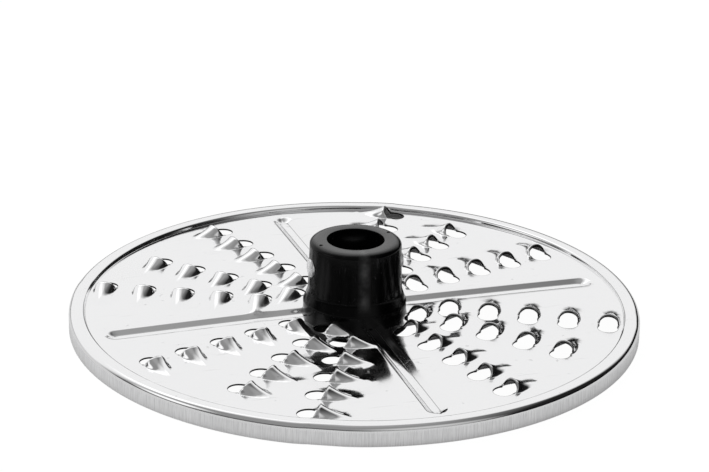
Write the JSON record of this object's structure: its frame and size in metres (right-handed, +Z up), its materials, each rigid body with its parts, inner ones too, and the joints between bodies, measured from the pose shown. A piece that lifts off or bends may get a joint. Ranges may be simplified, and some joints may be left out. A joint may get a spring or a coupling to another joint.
{
  "type": "food processor grating disc",
  "caption": "Round grating disc for a food processor: a stamped steel plate with pierced raised teeth, pressed channels and a skirted rim, on a black moulded drive hub.",
  "frame": {"origin": "centre of the disc, on the plane of the skirt's lower edge that it stands on", "axes": "+Z up along the drive axis, with the teeth and hub on top; X along the cross pin; the pressed channels run along X and Y"},
  "size_m": [0.18, 0.18, 0.0284],
  "materials": {
    "plate_steel": "polished",
    "hub_plastic": "fine moulded",
    "pin_steel": "ground"
  },
  "bodies": {
    "root": {"grating_plate": "plate_steel", "hub": "hub_plastic", "drive_pin": "pin_steel"}
  },
  "joints": []
}
